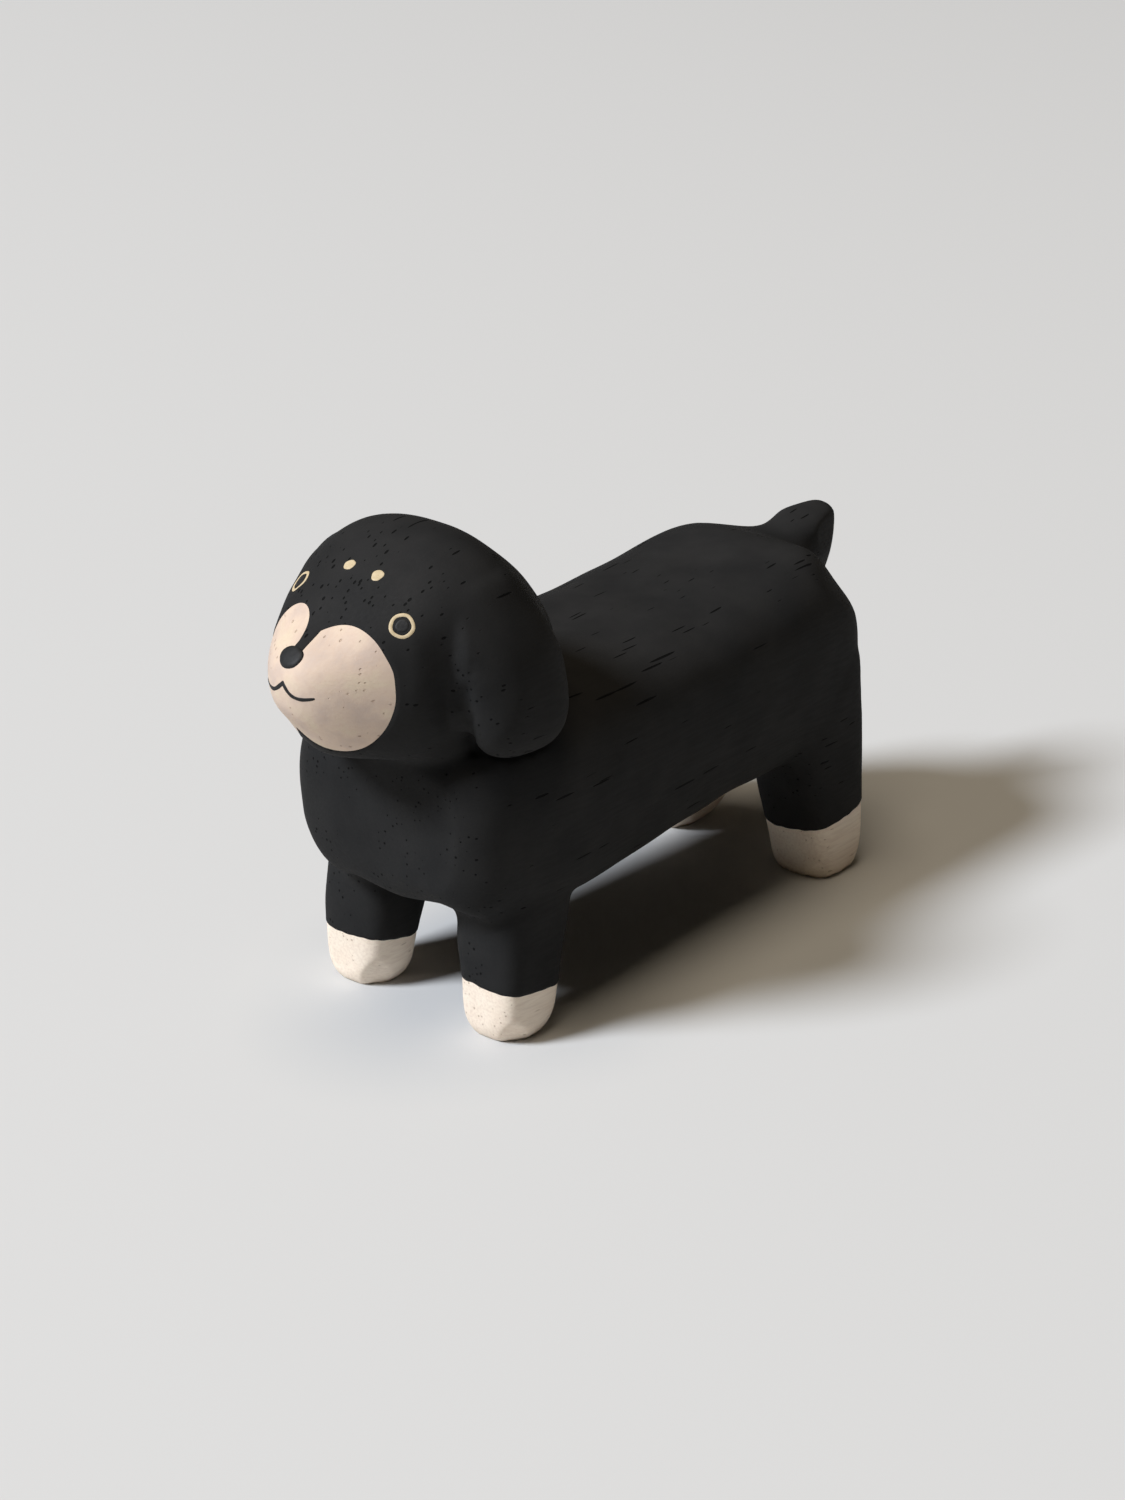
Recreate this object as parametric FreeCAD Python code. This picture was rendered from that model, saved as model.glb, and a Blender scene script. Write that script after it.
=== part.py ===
"""A small standing dog carved from one block of wood, with a thin coat of black paint and a painted face.

Millimetres, +Z up. The dog stands on z = 0 and faces -Y, so its own left side is +X. The origin is on the
floor under the middle of the overall box. Every rounded form is a closed skin drawn through a few rings.
Each ring is a rounded rectangle, and a form is made again slightly larger to get the paint that lies on it.
"""
import FreeCAD, Part
import math
import os

# Overall sizes
LENGTH = 108.0             # muzzle tip to tail tip
BACK_Z = 43.6              # top of the back behind the neck
RUMP_RISE = 3.4            # top of the rump above the back
CHEST_FLOOR_Z = 15.2       # underside between the front legs
BELLY_Z = 17.7             # underside of the waist

# Torso
MUZZLE_REACH = 14.0        # muzzle tip ahead of the chest
TAIL_REACH = 8.6           # tail tip behind the rump
TORSO_HALF_WIDTH = 18.7

# How square the cross sections are: 2 is round, and higher is squarer
BACK_SQUARENESS = 3.4
BELLY_SQUARENESS = 4.6
LEG_SQUARENESS = 3.6
ROUND_SQUARENESS = 2.45    # of the head, ears and tail

# Head, which is turned a little towards the dog's right
HEAD_LENGTH = 38.6
HEAD_HALF_WIDTH = 17.6
HEAD_LIFT = 6.6            # the head's long axis above the back
HEAD_RISE = 17.6           # crown above the axis
HEAD_DROP = 12.2           # jaw below the axis
HEAD_TURN = 3.2            # degrees
NECK_SHARE = 0.7           # the head turns about this share of its length

# Ears
EAR_X = 16.4               # middle of the flap from the head's middle
EAR_SETBACK = 24.6         # middle of the flap behind the muzzle tip
EAR_DROP = 9.6             # tip of the flap below the head's long axis
EAR_HEIGHT = 22.4
EAR_HALF_WIDTH = 7.8       # along the head
EAR_HALF_THICKNESS = 3.5
EAR_LEAN = 6.0             # how far the top of the flap leans in over the crown
EAR_SWEEP = 1.4            # how far the top of the flap stands ahead of its tip

# Legs. Carved by hand, so the right ones stand a little nearer the middle than the left ones
FRONT_LEG_BURIED = 5.4     # top of a front leg below the torso's axis, inside the wood
REAR_LEG_RISE = 8.0        # top of a rear leg above the torso's axis, inside the rump
FRONT_PAW_LEFT_X = 13.0
FRONT_PAW_RIGHT_X = 11.1
FRONT_PAW_SETBACK = 10.3   # middle of the front paws behind the chest
FRONT_PAW_HALF_X = 5.0
FRONT_PAW_HALF_Y = 5.0
FRONT_THIGH_SETBACK = 13.3
FRONT_THIGH_HALF_X = 6.0
FRONT_THIGH_HALF_Y = 7.3
FRONT_THIGH_INSET = 1.2    # outer face inside the torso's widest side
REAR_PAW_LEFT_X = 13.8
REAR_PAW_RIGHT_X = 12.1
REAR_PAW_SETBACK = 10.4    # middle of the rear paws ahead of the rump
REAR_PAW_HALF_X = 5.6
REAR_PAW_HALF_Y = 5.5
REAR_THIGH_SETBACK = 10.8
REAR_THIGH_HALF_X = 6.2
REAR_THIGH_HALF_Y = 8.2
REAR_THIGH_INSET = 0.9

# Tail
TAIL_LENGTH = 18.0         # its root is inside the rump
TAIL_PERK = 0.1            # tip of the tail above the rump
TAIL_LIFT = 3.2            # how far the tip stands above the root's top
TAIL_DEPTH = 17.0          # top edge to lower edge at the root
TAIL_AXIS_SHARE = 0.14     # depth of the axis under the top edge, as a share of the depth
TAIL_HALF_WIDTH = 4.7

# Paint
COAT = 0.15                # film of black paint
MARK = 0.10                # painted marks, over the coat or over bare wood
NOSE_BUILD = 0.35          # the nose is a thicker dab
FRONT_PAINT_Z = 6.6        # lower edge of the coat on the front legs
REAR_PAINT_Z = 8.4
LOBE_X = 4.0               # the bare muzzle is two ellipses that cross in the middle
LOBE_UP = 0.1
LOBE_HALF_WIDTH = 6.7
LOBE_HALF_HEIGHT = 7.9
LOBE_DEPTH = 12.0          # how far back from the muzzle tip the bare wood reaches
STRIPE_HALF_WIDTH = 0.8    # black stripe from the forehead down to the nose

# Face marks, by the distance from the head's middle and the height above its long axis
EYE_X = 9.4
EYE_UP = 8.7
EYE_RING_RADIUS = 1.72
EYE_RING_STROKE = 0.46
PUPIL_RADIUS = 0.86
BROW_X = 2.4
BROW_UP = 12.6
BROW_RADIUS = 0.8
NOSE_UP = 4.5
NOSE_RADIUS = 1.65
MOUTH_PEAK_UP = 2.0
MOUTH_DIP_X = 2.4
MOUTH_DIP_UP = 0.5
MOUTH_END_X = 4.3
MOUTH_END_UP = 0.7
MOUTH_STROKE = 0.36

TOLERANCE = 1e-6
BELOW_FLOOR = 10.0         # depth of the tools that reach under the floor
PLANE_AHEAD = 1.0          # the plane that marks are drawn in is this far ahead of the muzzle
TOOL_REACH = 1.5           # how far a mark's tool reaches to each side of the head's surface
RING_POINTS = 16
END_CAP_SHARE = 0.25       # flat end of a skin, as a share of its end ring
MUZZLE_Y = -LENGTH / 2
CHEST_Y = MUZZLE_Y + MUZZLE_REACH
RUMP_Z = BACK_Z + RUMP_RISE
TORSO_AXIS_Z = (BACK_Z + CHEST_FLOOR_Z) / 2
HEAD_Z = BACK_Z + HEAD_LIFT
FRONT_LEG_TOP_Z = TORSO_AXIS_Z - FRONT_LEG_BURIED
REAR_LEG_TOP_Z = TORSO_AXIS_Z + REAR_LEG_RISE
TAIL_TIP_Y = LENGTH / 2 - COAT
RUMP_Y = LENGTH / 2 - TAIL_REACH
NECK_PIVOT = FreeCAD.Vector(0, MUZZLE_Y + NECK_SHARE * HEAD_LENGTH, 0)
AHEAD = FreeCAD.Vector(0, -1, 0)
UP = FreeCAD.Vector(0, 0, 1)
ORIGIN = FreeCAD.Vector(0, 0, 0)

# Profiles: each row is one ring of a form, and most values are shares of that form's own sizes.
# (along, half width, way from the back to the rump, way from the chest floor to the belly, end rounding)
TORSO_PROFILE = (
    (0.00, 0.57, 0.00, 0.00, 0.52),
    (0.02, 0.85, 0.00, 0.00, 0.81),
    (0.09, 0.98, 0.00, 0.15, 1.00),
    (0.23, 1.02, 0.00, -0.15, 1.00),
    (0.42, 0.98, 0.00, 0.42, 1.00),
    (0.62, 0.95, 0.00, 1.00, 1.00),
    (0.81, 0.96, 0.65, 0.75, 1.00),
    (0.93, 0.91, 1.00, 0.40, 1.00),
    (0.97, 0.73, 0.00, 0.00, 0.80),
    (1.00, 0.44, 0.00, 0.00, 0.48),
)
# (along, half width, rise, drop)
HEAD_PROFILE = (
    (0.00, 0.15, 0.17, 0.20),
    (0.06, 0.35, 0.33, 0.41),
    (0.15, 0.51, 0.40, 0.79),
    (0.27, 0.71, 0.63, 0.90),
    (0.40, 0.94, 0.82, 0.97),
    (0.62, 1.00, 1.03, 1.00),
    (0.81, 0.88, 0.72, 1.08),
    (0.93, 0.64, 0.34, 0.94),
    (1.00, 0.34, 0.10, 0.76),
)
TAIL_PROFILE = (
    (0.00, 0.32, 0.70),
    (0.16, 0.96, 0.86),
    (0.44, 1.00, 1.00),
    (0.74, 0.85, 0.78),
    (0.94, 0.55, 0.45),
    (1.00, 0.26, 0.17),
)
# (up the ear, half width, half thickness, lean)
EAR_PROFILE = (
    (0.00, 0.50, 0.56, 0.03),
    (0.04, 0.76, 0.83, 0.03),
    (0.17, 0.95, 0.95, -0.03),
    (0.42, 1.00, 1.00, 0.05),
    (0.68, 0.95, 1.00, 0.33),
    (0.86, 0.78, 0.90, 0.75),
    (1.00, 0.57, 0.74, 1.00),
)
# (up the leg, share of the way from paw to thigh, inset of the rounded edge in millimetres)
FRONT_LEG_PROFILE = (
    (-0.050, 0.00, 2.3),
    (0.017, 0.00, 0.9),
    (0.110, 0.00, 0.1),
    (0.280, 0.04, 0.0),
    (0.450, 0.45, 0.0),
    (0.625, 0.80, 0.0),
    (0.833, 1.00, 0.0),
    (1.000, 1.00, 1.2),
)
REAR_LEG_PROFILE = (
    (-0.032, 0.00, 1.8),
    (0.011, 0.00, 0.5),
    (0.080, 0.02, 0.0),
    (0.240, 0.30, 0.0),
    (0.400, 0.75, 0.0),
    (0.540, 1.00, 0.0),
    (0.780, 1.00, 0.4),
    (1.000, 1.00, 2.6),
)


def power(value, exponent):
    return math.copysign(abs(value) ** exponent, value)


def ring(centre, across, upward, half_width, rise, drop, upper_squareness, lower_squareness):
    """Points round a rounded rectangle, whose upper and lower halves can differ in height and squareness."""
    points = []
    for index in range(RING_POINTS):
        angle = 2 * math.pi * index / RING_POINTS
        is_upper = math.sin(angle) >= 0
        squareness = upper_squareness if is_upper else lower_squareness
        height = rise if is_upper else drop
        sideways = power(math.cos(angle), 2 / squareness) * half_width
        lift = power(math.sin(angle), 2 / squareness) * height
        points.append(centre + across * sideways + upward * lift)
    return points


def end_cap(rim, centre):
    """A small ring in the plane of the end ring, so that the skin runs smoothly into a flat end."""
    return [centre + (point - centre) * END_CAP_SHARE for point in rim]


def closed_skin(rings, centres):
    """One solid whose smooth surface follows the rings, with a small flat face at both ends."""
    rows = [end_cap(rings[0], centres[0])] + rings + [end_cap(rings[-1], centres[-1])]
    spans = len(rows) - 3
    surface = Part.BSplineSurface()
    surface.buildFromPolesMultsKnots(
        rows,
        [4] + [1] * (spans - 1) + [4],
        [1] * (RING_POINTS + 1),
        list(range(spans + 1)),
        list(range(RING_POINTS + 1)),
        False,
        True,
        3,
        3,
    )
    side = surface.toShape()
    ends = [Part.Face(Part.Wire([edge])) for edge in side.Edges if edge.isClosed()]
    shell = Part.Shell([side] + ends)
    shell.fix(TOLERANCE, TOLERANCE, TOLERANCE)
    return Part.Solid(shell)


def skin_along_y(rows, grow, upper_squareness, lower_squareness):
    """A form that lies along Y, from rows of (y, axis height, half width, rise, drop)."""
    across = FreeCAD.Vector(1, 0, 0)
    rings = []
    centres = []
    last = len(rows) - 1
    for index, (y, axis_z, half_width, rise, drop) in enumerate(rows):
        end_shift = -grow if index == 0 else grow if index == last else 0.0
        centre = FreeCAD.Vector(0, y + end_shift, axis_z)
        centres.append(centre)
        sizes = (half_width + grow, rise + grow, drop + grow)
        rings.append(ring(centre, across, UP, *sizes, upper_squareness, lower_squareness))
    return closed_skin(rings, centres)


def skin_up_z(rows, grow, squareness):
    """A form that stands along Z, from rows of (z, x, y, half width in x, half width in y)."""
    across = FreeCAD.Vector(1, 0, 0)
    along = FreeCAD.Vector(0, 1, 0)
    rings = []
    centres = []
    last = len(rows) - 1
    for index, (z, x, y, half_x, half_y) in enumerate(rows):
        end_shift = -grow if index == 0 else grow if index == last else 0.0
        centre = FreeCAD.Vector(x, y, z + end_shift)
        centres.append(centre)
        sizes = (half_x + grow, half_y + grow, half_y + grow)
        rings.append(ring(centre, across, along, *sizes, squareness, squareness))
    return closed_skin(rings, centres)


def torso(grow):
    rows = []
    for along, width, to_rump, to_belly, rounding in TORSO_PROFILE:
        y = CHEST_Y + along * (RUMP_Y - CHEST_Y)
        top_z = BACK_Z + to_rump * (RUMP_Z - BACK_Z)
        floor_z = CHEST_FLOOR_Z + to_belly * (BELLY_Z - CHEST_FLOOR_Z)
        rise = rounding * (top_z - TORSO_AXIS_Z)
        drop = rounding * (TORSO_AXIS_Z - floor_z)
        rows.append((y, TORSO_AXIS_Z, width * TORSO_HALF_WIDTH, rise, drop))
    return skin_along_y(rows, grow, BACK_SQUARENESS, BELLY_SQUARENESS)


def turned_with_head(shape):
    shape.rotate(NECK_PIVOT, UP, -HEAD_TURN)
    return shape


def straight_head(grow):
    """The head before it is turned."""
    rows = []
    for along, width, up, down in HEAD_PROFILE:
        y = MUZZLE_Y + along * HEAD_LENGTH
        rows.append((y, HEAD_Z, width * HEAD_HALF_WIDTH, up * HEAD_RISE, down * HEAD_DROP))
    return skin_along_y(rows, grow, ROUND_SQUARENESS, ROUND_SQUARENESS)


def ear(side, grow):
    rows = []
    for up, width, thickness, lean in EAR_PROFILE:
        x = side * (EAR_X - lean * EAR_LEAN)
        z = HEAD_Z - EAR_DROP + up * EAR_HEIGHT
        y = MUZZLE_Y + EAR_SETBACK - up * EAR_SWEEP
        rows.append((z, x, y, thickness * EAR_HALF_THICKNESS, width * EAR_HALF_WIDTH))
    return turned_with_head(skin_up_z(rows, grow, ROUND_SQUARENESS))


def leg(side, paw, thigh, profile, top_z, grow):
    """paw and thigh are each (x, y, half width in x, half width in y)."""
    rows = []
    for up, share, inset in profile:
        x, y, half_x, half_y = [low + share * (high - low) for low, high in zip(paw, thigh)]
        rows.append((up * top_z, side * x, y, half_x - inset, half_y - inset))
    return skin_up_z(rows, grow, LEG_SQUARENESS)


def front_leg(side, paw_x, grow):
    thigh_x = TORSO_HALF_WIDTH - FRONT_THIGH_INSET - FRONT_THIGH_HALF_X
    paw = (paw_x, CHEST_Y + FRONT_PAW_SETBACK, FRONT_PAW_HALF_X, FRONT_PAW_HALF_Y)
    thigh = (thigh_x, CHEST_Y + FRONT_THIGH_SETBACK, FRONT_THIGH_HALF_X, FRONT_THIGH_HALF_Y)
    return leg(side, paw, thigh, FRONT_LEG_PROFILE, FRONT_LEG_TOP_Z, grow)


def rear_leg(side, paw_x, grow):
    thigh_x = TORSO_HALF_WIDTH - REAR_THIGH_INSET - REAR_THIGH_HALF_X
    paw = (paw_x, RUMP_Y - REAR_PAW_SETBACK, REAR_PAW_HALF_X, REAR_PAW_HALF_Y)
    thigh = (thigh_x, RUMP_Y - REAR_THIGH_SETBACK, REAR_THIGH_HALF_X, REAR_THIGH_HALF_Y)
    return leg(side, paw, thigh, REAR_LEG_PROFILE, REAR_LEG_TOP_Z, grow)


def tail(grow):
    """A thorn with a broad top: its axis runs just under the top and its lower edge rises to the tip."""
    rise = TAIL_AXIS_SHARE * TAIL_DEPTH
    rows = []
    for along, width, depth in TAIL_PROFILE:
        y = TAIL_TIP_Y + (along - 1) * TAIL_LENGTH
        axis_z = RUMP_Z + TAIL_PERK - rise - (1 - along) * TAIL_LIFT
        rows.append((y, axis_z, width * TAIL_HALF_WIDTH, width * rise, depth * (TAIL_DEPTH - rise)))
    return skin_along_y(rows, grow, ROUND_SQUARENESS, ROUND_SQUARENESS)


def above_floor(shape):
    """The shape cut flat at z = 0, where the paws stand."""
    corner = FreeCAD.Vector(-LENGTH, -LENGTH, -BELOW_FLOOR)
    return shape.cut(Part.makeBox(2 * LENGTH, 2 * LENGTH, BELOW_FLOOR, corner))


def whole_dog(grow):
    forms = [turned_with_head(straight_head(grow)), tail(grow)]
    paws = ((1, FRONT_PAW_LEFT_X, REAR_PAW_LEFT_X), (-1, FRONT_PAW_RIGHT_X, REAR_PAW_RIGHT_X))
    for side, front_paw_x, rear_paw_x in paws:
        forms.append(ear(side, grow))
        forms.append(front_leg(side, front_paw_x, grow))
        forms.append(rear_leg(side, rear_paw_x, grow))
    return torso(grow).fuse(forms)


def surface_spot(x, up):
    """Where a line straight back from a place on the face meets the unturned head, and the way out of it."""
    head = straight_head(0.0)
    start = muzzle_plane_point(x, up)
    end = FreeCAD.Vector(x, NECK_PIVOT.y, HEAD_Z + up)
    inside = Part.makeLine(start, end).common(head)
    spot = min((vertex.Point for vertex in inside.Vertexes), key=lambda point: point.y)
    face = head.Faces[0]
    outward = face.normalAt(*face.Surface.parameter(spot))
    if outward.y > 0:
        outward = outward * -1
    return spot, outward


def disc_tool(x, up, radius):
    """A short cylinder that stands across the head's surface at a place on the face."""
    spot, outward = surface_spot(x, up)
    return Part.makeCylinder(radius, 2 * TOOL_REACH, spot - outward * TOOL_REACH, outward)


def painted(tool, under, thickness):
    """The film of paint that a tool cuts out between two grown heads, under being what it lies on."""
    film = tool.common(straight_head(under + thickness)).cut(straight_head(under))
    return turned_with_head(film)


def ahead_prism(face, length):
    """A flat face in the plane of the muzzle tip, drawn back into the head."""
    return face.extrude(AHEAD * -length)


def muzzle_plane_point(x, up):
    """A place on the face, in the upright plane just ahead of the muzzle."""
    return FreeCAD.Vector(x, MUZZLE_Y - PLANE_AHEAD, HEAD_Z + up)


def lobe_prism(side):
    centre = muzzle_plane_point(side * LOBE_X, LOBE_UP)
    tall = centre + UP * LOBE_HALF_HEIGHT
    wide = centre + FreeCAD.Vector(LOBE_HALF_WIDTH, 0, 0)
    outline = Part.Wire([Part.Ellipse(tall, wide, centre).toShape()])
    return ahead_prism(Part.Face(outline), LOBE_DEPTH)


def bare_muzzle():
    """What is left unpainted: both lobes without the stripe, and the bed of the nose."""
    stripe_corner = muzzle_plane_point(-STRIPE_HALF_WIDTH, NOSE_UP)
    stripe = Part.makeBox(2 * STRIPE_HALF_WIDTH, HEAD_LENGTH, HEAD_RISE, stripe_corner)
    lobes = lobe_prism(1).fuse(lobe_prism(-1))
    return turned_with_head(lobes.cut(stripe).fuse(disc_tool(0, NOSE_UP, NOSE_RADIUS)))


def bare_paws():
    """Boxes round the four paws, as high as the lower edge of the coat."""
    middle_y = (CHEST_Y + RUMP_Y) / 2
    width = 2 * LENGTH
    boxes = []
    for paint_z, start_y in ((FRONT_PAINT_Z, middle_y - width), (REAR_PAINT_Z, middle_y)):
        corner = FreeCAD.Vector(-LENGTH, start_y, -BELOW_FLOOR)
        boxes.append(Part.makeBox(width, width, paint_z + BELOW_FLOOR, corner))
    return boxes


def mouth_prism():
    """A thin band along two arcs that rise to a peak under the nose."""
    peak = muzzle_plane_point(0, MOUTH_PEAK_UP)
    arcs = []
    for side in (-1, 1):
        dip = muzzle_plane_point(side * MOUTH_DIP_X, MOUTH_DIP_UP)
        end = muzzle_plane_point(side * MOUTH_END_X, MOUTH_END_UP)
        arcs.append(Part.Arc(peak, dip, end).toShape())
    band = Part.Wire(arcs).makeOffset2D(MOUTH_STROKE / 2)
    return ahead_prism(Part.Face(band), LOBE_DEPTH)


def build():
    block = above_floor(whole_dog(0.0))
    coat = whole_dog(COAT).cut([block, bare_muzzle()] + bare_paws())
    nodes = {"carved_body": block, "black_coat": coat}
    for name, side in (("left", 1), ("right", -1)):
        outer = disc_tool(side * EYE_X, EYE_UP, EYE_RING_RADIUS)
        inner = disc_tool(side * EYE_X, EYE_UP, EYE_RING_RADIUS - EYE_RING_STROKE)
        pupil = disc_tool(side * EYE_X, EYE_UP, PUPIL_RADIUS)
        brow = disc_tool(side * BROW_X, BROW_UP, BROW_RADIUS)
        nodes[name + "_eye_ring"] = painted(outer.cut(inner), COAT, MARK)
        nodes[name + "_pupil"] = painted(pupil, COAT, MARK)
        nodes[name + "_brow_dot"] = painted(brow, COAT, MARK)
    nodes["nose"] = painted(disc_tool(0, NOSE_UP, NOSE_RADIUS), 0.0, NOSE_BUILD)
    nodes["mouth_line"] = painted(mouth_prism(), 0.0, MARK)
    return nodes


def main():
    os.makedirs("parts", exist_ok=True)
    for name, shape in build().items():
        solids = shape.Solids
        if len(solids) != 1 or not shape.isValid():
            raise ValueError("%s: %d solids, valid %s" % (name, len(solids), shape.isValid()))
        solids[0].exportStep("parts/%s.step" % name)
        box = solids[0].BoundBox
        print("%-16s volume %9.3f  x %6.2f %6.2f  y %6.2f %6.2f  z %6.2f %6.2f" % (
            name, solids[0].Volume, box.XMin, box.XMax, box.YMin, box.YMax, box.ZMin, box.ZMax))


main()
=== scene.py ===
"""A small carved wooden dog, painted matte black, on a pale floor under soft studio light.

One fine mesh of the whole carving is made from the carved body's own shape. Its joins are rounded as a
knife and sandpaper leave them, and its legs, chest and tail get flat knife cuts. The bare wood is that
mesh. Every film of paint is a patch cut out of it along a smooth line and given a thickness, so paint
always lies on wood. Lengths are millimetres in the frame's own axes, -Y ahead, +X the dog's left and
+Z up, unless a comment says metres.
"""
import math

import bpy
import numpy as np
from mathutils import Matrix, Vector

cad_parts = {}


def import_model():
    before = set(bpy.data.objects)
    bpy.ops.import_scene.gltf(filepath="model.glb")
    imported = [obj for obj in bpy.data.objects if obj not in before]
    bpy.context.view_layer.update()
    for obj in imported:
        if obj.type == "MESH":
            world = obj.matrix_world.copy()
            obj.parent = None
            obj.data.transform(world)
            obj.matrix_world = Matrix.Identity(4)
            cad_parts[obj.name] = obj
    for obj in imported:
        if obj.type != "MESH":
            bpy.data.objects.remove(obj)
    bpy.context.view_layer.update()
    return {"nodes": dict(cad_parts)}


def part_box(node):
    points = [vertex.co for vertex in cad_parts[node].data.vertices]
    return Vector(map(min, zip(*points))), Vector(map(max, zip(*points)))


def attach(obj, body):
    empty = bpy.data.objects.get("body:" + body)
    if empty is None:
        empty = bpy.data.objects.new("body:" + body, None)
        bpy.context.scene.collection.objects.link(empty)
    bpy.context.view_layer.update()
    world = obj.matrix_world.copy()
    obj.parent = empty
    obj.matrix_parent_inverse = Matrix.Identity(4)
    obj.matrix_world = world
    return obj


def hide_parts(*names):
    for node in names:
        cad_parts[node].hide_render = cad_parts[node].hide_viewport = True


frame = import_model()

MM = 0.001
SEED = 7

# Mesh
VOXEL = 0.45               # spacing of the carving's own mesh
MARK_EDGE = 0.14           # longest edge under a painted mark
PAINT_EDGE = 0.22          # longest edge along the edge of the coat
OTHER_EDGE = 9.0           # no limit elsewhere
FINE_REACH = 0.7           # how far the short edges go on beside a mark or the coat's edge
SPLIT_ROUNDS = 4
PULL = 0.6                 # how far one round of smoothing moves a vertex towards its neighbours
WAVE_COUNT = 5             # crossing waves in one irregular pattern
WAVE_HEIGHT = 1.2          # brings their sum back to about 1

# Thickness of the paint
COAT = 0.12                # paint over bare wood
COAT_THIN = 0.12           # share of it that is left at the coat's edge
COAT_TAPER = 0.35          # how far from its edge the coat is full
MARK = 0.06                # mark over what it lies on
MARK_THIN = 0.2
MARK_TAPER = 0.14
NOSE_BUILD = 0.28          # the nose is a thick dab
NOSE_SHOULDER = 0.7        # width of its rounded edge
SUNK = 0.05                # how far the underside of a film is inside the wood

# The head's own frame, turned a little to the dog's right about its neck
HEAD_TURN = math.radians(3.2)
NECK_Y = -27.0

# Joins of the carving, found as creases inside these ranges: distance from the middle, y and z in the
# head's frame, and then how far their rounding reaches and how many rounds it gets.
ANY = 999.0                # no limit
CREASE_LEAST = 0.035       # how far a vertex lies inside its neighbours' mean to count as in a crease
EAR_EDGE = ((12.5, ANY), (-ANY, -22.0), (38.0, 58.0), 1.0, 3)
TAIL_ROOT = ((-ANY, ANY), (34.0, ANY), (42.0, ANY), 0.8, 2)
NAPE = ((-ANY, 19.0), (-24.0, ANY), (38.0, 56.0), 7.0, 110)
THROAT = ((-ANY, 12.5), (-ANY, -24.0), (-ANY, 46.0), 4.0, 26)
EAR_TOP = ((7.0, ANY), (-ANY, ANY), (57.0, ANY), 8.0, 120)
HAUNCH = ((-ANY, ANY), (12.0, ANY), (12.0, 44.0), 5.0, 45)
SHOULDER = ((-ANY, ANY), (-ANY, -8.0), (-ANY, 26.0), 2.6, 14)
OTHER_REACH = 2.0
OTHER_ROUNDS = 8

# Small corrections of the form: middle, how far they reach, and how far the wood moves there.
NUDGES = (
    ((-7.5, -51.0, 45.5), 10.0, (0.60, 0.45, 0.45)),     # right side of the muzzle and jaw
    ((-17.0, -37.5, 17.5), 8.5, (1.55, 1.10, 1.70)),     # right lower corner of the chest
    ((-17.5, -37.5, 34.0), 9.0, (-0.35, -0.20, 0.00)),   # right side of the chest
    ((-9.0, -48.0, 61.0), 9.0, (-0.40, -0.15, 0.30)),    # right side of the forehead
    ((15.0, 40.5, 43.5), 8.0, (-0.90, -0.60, -1.30)),    # left upper corner of the rump
    ((17.5, 41.5, 33.0), 10.0, (0.45, 0.40, 0.00)),      # left side of the rump
    ((-4.0, -34.0, 15.0), 8.0, (0.00, 0.00, 1.40)),      # floor of the chest between the legs
    ((-6.0, -30.0, 9.0), 9.0, (0.70, 0.25, 0.20)),       # inner side of the right front leg
    ((18.0, -25.5, 5.0), 8.0, (0.25, 0.60, 0.00)),       # back of the left front paw
    ((-12.0, 8.0, 45.0), 24.0, (0.00, 0.00, 0.45)),      # right edge of the back
    ((-3.5, 47.5, 46.5), 5.0, (-0.20, 0.00, 0.15)),      # top of the tail's root
    ((-2.0, 54.0, 46.5), 4.0, (0.00, 0.35, 0.25)),       # tip of the tail
    ((8.0, -30.0, 5.0), 6.0, (-0.45, 0.00, 0.00)),       # inner side of the left front leg
    ((7.5, -36.0, 18.5), 7.0, (0.00, 0.20, 0.95)),       # edge of the chest beside the left front leg
    ((-7.5, 32.0, 5.0), 8.0, (0.90, -1.10, 0.00)),       # inner side of the right rear paw
    ((-7.0, 39.5, 5.0), 7.0, (1.30, 1.80, 0.00)),        # inner rear corner of the right rear paw
    ((15.8, -38.5, 50.0), 6.5, (-1.30, 0.00, 0.00)),     # crease in front of the left ear
    ((15.2, -37.5, 44.5), 5.0, (-0.80, 0.00, 0.00)),     # lower end of that crease
)

# Flat knife cuts on the legs: which legs, the way the cut faces (x from the dog's middle outward),
# how deep it goes, and the height that it fades out at.
LEG_CUT_FULL_SHARE = 0.6   # share of that height up to which a cut is full
LEG_CUTS = (
    (("front_left",), (-0.10, -1.00, -0.05), 0.30, 16.0),
    (("front_left",), (1.00, -0.10, -0.02), 0.20, 11.0),
    (("front_left",), (0.70, -0.50, -0.52), 0.75, 12.0),
    (("front_left",), (0.25, 0.80, -0.55), 0.50, 9.0),
    (("front_left",), (-0.70, -0.35, -0.60), 0.30, 9.0),
    (("front_right",), (0.10, -1.00, -0.08), 0.35, 16.0),
    (("front_right",), (-1.00, -0.06, 0.02), 0.35, 18.0),
    (("front_right",), (-0.74, -0.50, -0.46), 0.85, 12.0),
    (("front_right",), (0.55, -0.35, -0.72), 0.35, 9.0),
    (("rear_left", "rear_right"), (1.00, 0.05, -0.10), 0.20, 16.0),
    (("rear_left", "rear_right"), (0.55, -0.75, -0.40), 0.35, 12.0),
    (("rear_left", "rear_right"), (0.60, 0.70, -0.35), 0.30, 9.0),
    (("rear_left", "rear_right"), (-0.75, -0.30, -0.60), 0.40, 9.0),
)

# Flat knife cuts that leave edges on the tail: the way the cut faces, and how deep it goes.
TAIL_CUTS = (
    ((0.08, -0.16, 0.98), 0.15),
    ((0.96, 0.24, 0.10), 0.50),
)
TAIL_CUT_Y = (45.3, 47.8)  # where these cuts begin, and where they are full
TAIL_CUT_LEAST_Z = 34.0

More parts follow.
